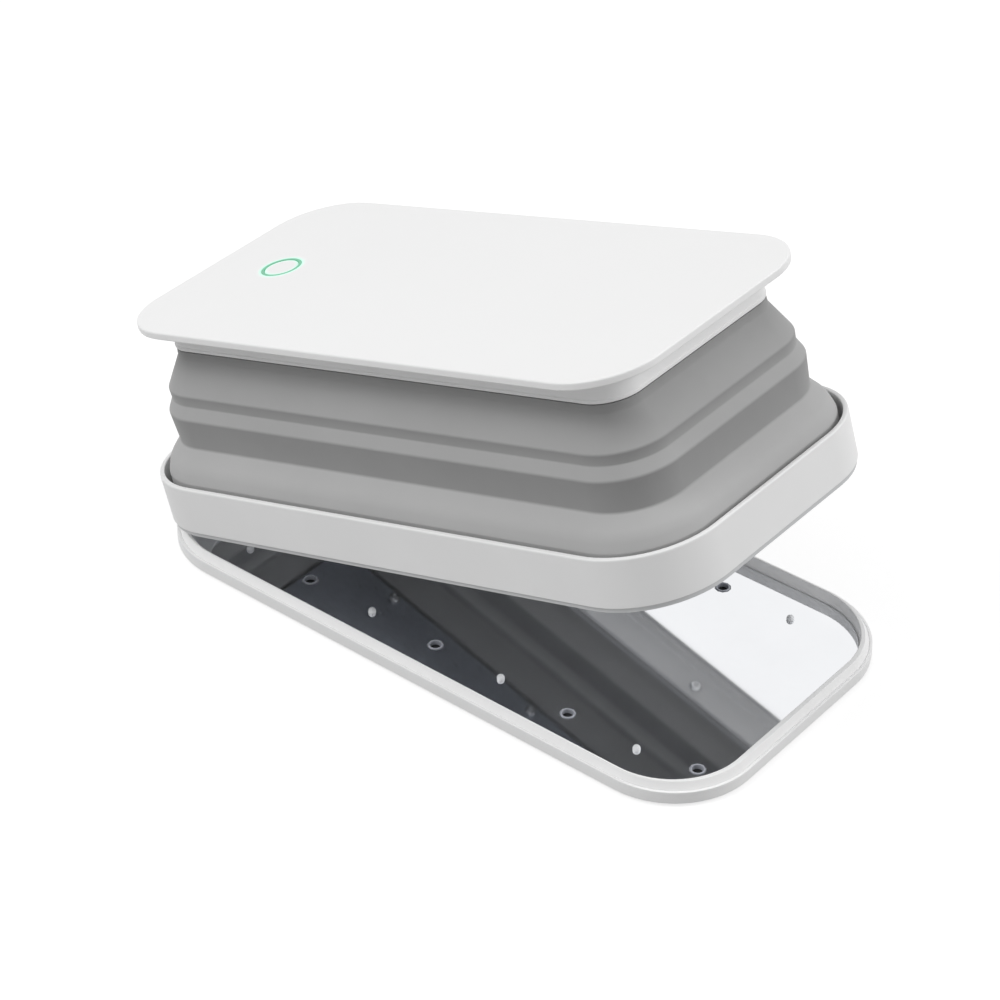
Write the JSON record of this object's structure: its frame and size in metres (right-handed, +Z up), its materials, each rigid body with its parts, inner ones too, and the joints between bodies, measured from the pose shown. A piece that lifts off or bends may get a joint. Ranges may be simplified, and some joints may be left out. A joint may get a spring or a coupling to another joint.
{
  "type": "phone sanitizer box",
  "caption": "Flat box with a mirror-floored tray, a hinged lid that folds down on a silicone bellows, ultraviolet lamps above, and a lit power button on top",
  "frame": {"origin": "middle of the tray's footprint, on the surface that the box stands on, which is the flat underside of its rubber pad", "axes": "+X along the box from the hinge to the opening end, +Y across it, +Z up"},
  "size_m": [0.2123, 0.1024, 0.1221],
  "materials": {
    "shell_white": "satin moulded plastic",
    "plate_white": "smooth semi-gloss plastic",
    "button_white": "smooth semi-gloss plastic",
    "stud_white": "satin moulded plastic",
    "clamp_plastic": "satin moulded plastic",
    "bellows_silicone": "matt silicone",
    "pad_rubber": "matt rubber",
    "mirror_sheet": "mirror film",
    "reflector": "bright rolled sheet",
    "light_ring": "translucent, lit from inside",
    "steel": "plated steel",
    "magnet": "nickel plated",
    "socket_steel": "drawn stainless steel",
    "circuit_board": "solder mask",
    "lamp_ceramic": "matt ceramic with a clear lens",
    "battery_foil": "soft foil pouch",
    "black_plastic": "moulded plastic"
  },
  "bodies": {
    "base": {"base_tray": "shell_white", "base_pad": "pad_rubber", "mirror_floor": "mirror_sheet", "hinge_pin": "steel", "phone_stud_1": "stud_white", "phone_stud_2": "stud_white", "phone_stud_3": "stud_white", "phone_stud_4": "stud_white", "phone_stud_5": "stud_white", "phone_stud_6": "stud_white", "phone_stud_7": "stud_white", "phone_stud_8": "stud_white", "tray_magnet_1": "magnet", "tray_magnet_2": "magnet"},
    "lid": {"lid_band": "shell_white", "bellows": "bellows_silicone", "bellows_clamp": "clamp_plastic", "clamp_screw_1": "steel", "clamp_screw_2": "steel", "clamp_screw_3": "steel", "clamp_screw_4": "steel", "clamp_screw_5": "steel", "clamp_screw_6": "steel", "clamp_screw_7": "steel", "clamp_screw_8": "steel", "lid_magnet_1": "magnet", "lid_magnet_2": "magnet"},
    "head": {"top_plate": "plate_white", "light_ring": "light_ring", "head_collar": "shell_white", "reflector_panel": "reflector", "main_board": "circuit_board", "led_board": "circuit_board", "board_connector": "black_plastic", "charging_socket": "socket_steel", "battery": "battery_foil", "tact_switch": "black_plastic", "uv_led_1": "lamp_ceramic", "uv_led_2": "lamp_ceramic", "uv_led_3": "lamp_ceramic", "uv_led_4": "lamp_ceramic", "uv_led_5": "lamp_ceramic", "uv_led_6": "lamp_ceramic", "head_screw_1": "steel", "head_screw_2": "steel", "head_screw_3": "steel", "head_screw_4": "steel", "head_screw_5": "steel", "head_screw_6": "steel", "board_screw_1": "steel", "board_screw_2": "steel", "board_screw_3": "steel", "board_screw_4": "steel", "led_board_screw_1": "steel", "led_board_screw_2": "steel"},
    "button": {"power_button": "button_white"}
  },
  "joints": [
    {"name": "lid_hinge", "type": "hinge", "parent": "base", "child": "lid", "pos_m": [-0.1012, 0, 0.0033], "axis": [0, -1, 0], "range_deg": [-17.2, 52.8]},
    {"name": "bellows_collapse", "type": "slide", "parent": "lid", "child": "head", "axis": [0.2957, 0, -0.9553], "range_m": [0, 0.035], "deforming": ["bellows"]},
    {"name": "button_press", "type": "slide", "parent": "head", "child": "button", "axis": [0.2957, 0, -0.9553], "range_m": [0, 0.0005], "stiffness_N_per_m": 1200}
  ]
}
